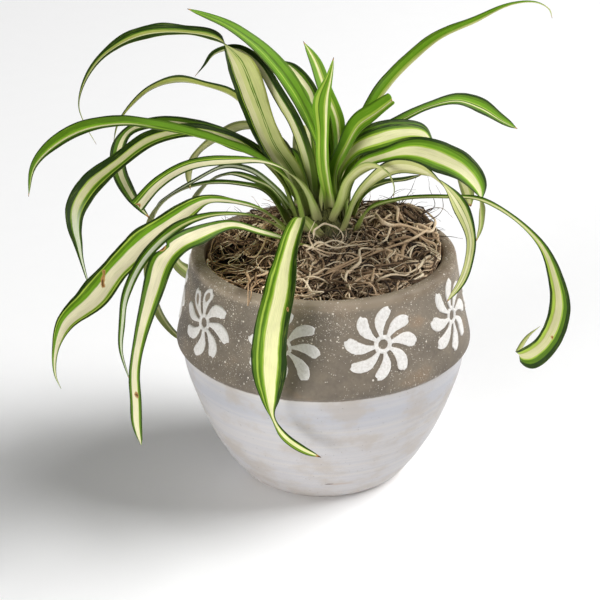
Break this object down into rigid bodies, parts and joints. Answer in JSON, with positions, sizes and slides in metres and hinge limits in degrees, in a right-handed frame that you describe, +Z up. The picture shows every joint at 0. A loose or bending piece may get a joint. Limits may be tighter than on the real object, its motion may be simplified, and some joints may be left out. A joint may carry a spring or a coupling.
{
  "type": "potted spider plant",
  "caption": "Variegated strap-leaved house plant arching out of a two-tone round ceramic pot with raised flowers, on soil under a mat of dry roots.",
  "frame": {"origin": "centre of the pot's flat base, on the surface it stands on", "axes": "+Z up along the pot's axis, +X to the right and -Y to the front of the pictured view"},
  "size_m": [0.2597, 0.2037, 0.2479],
  "materials": {
    "pot": "matte, taupe band over an off-white bowl",
    "soil": "rough damp crumb",
    "fibre": "rough dry fibre",
    "crown": "satin, pale green",
    "leaf": "satin, green edges with a cream middle"
  },
  "bodies": {
    "root": {"pot": "pot", "potting_soil": "soil", "fibre_mat": "fibre", "crown": "crown", "leaf_left_bright_upright": "leaf", "leaf_left_far_arch": "leaf", "leaf_left_inner_arch": "leaf", "leaf_left_olive_arch": "leaf", "leaf_left_long_arch": "leaf", "leaf_left_folded": "leaf", "leaf_left_behind": "leaf", "leaf_left_broken": "leaf", "leaf_left_low_thin": "leaf", "leaf_left_low_dark": "leaf", "leaf_left_wavy_low": "leaf", "leaf_left_pale_hanging": "leaf", "leaf_front_left_large": "leaf", "leaf_front_left_notched": "leaf", "leaf_front_left_narrow": "leaf", "leaf_upright_back_left": "leaf", "leaf_upright_folded": "leaf", "leaf_upright_back": "leaf", "leaf_upright_wavy": "leaf", "leaf_right_long_arch": "leaf", "leaf_right_blunt": "leaf", "leaf_right_back_arch": "leaf", "leaf_right_wide_dark": "leaf", "leaf_right_large": "leaf", "leaf_right_hooked": "leaf", "leaf_right_inner_droop": "leaf", "leaf_right_low_dark": "leaf", "leaf_right_trailing": "leaf", "leaf_front_drape": "leaf", "leaf_back_drape_left": "leaf", "leaf_back_drape_right": "leaf", "leaf_back_right_low": "leaf", "leaf_back_left_drape": "leaf"}
  },
  "joints": []
}
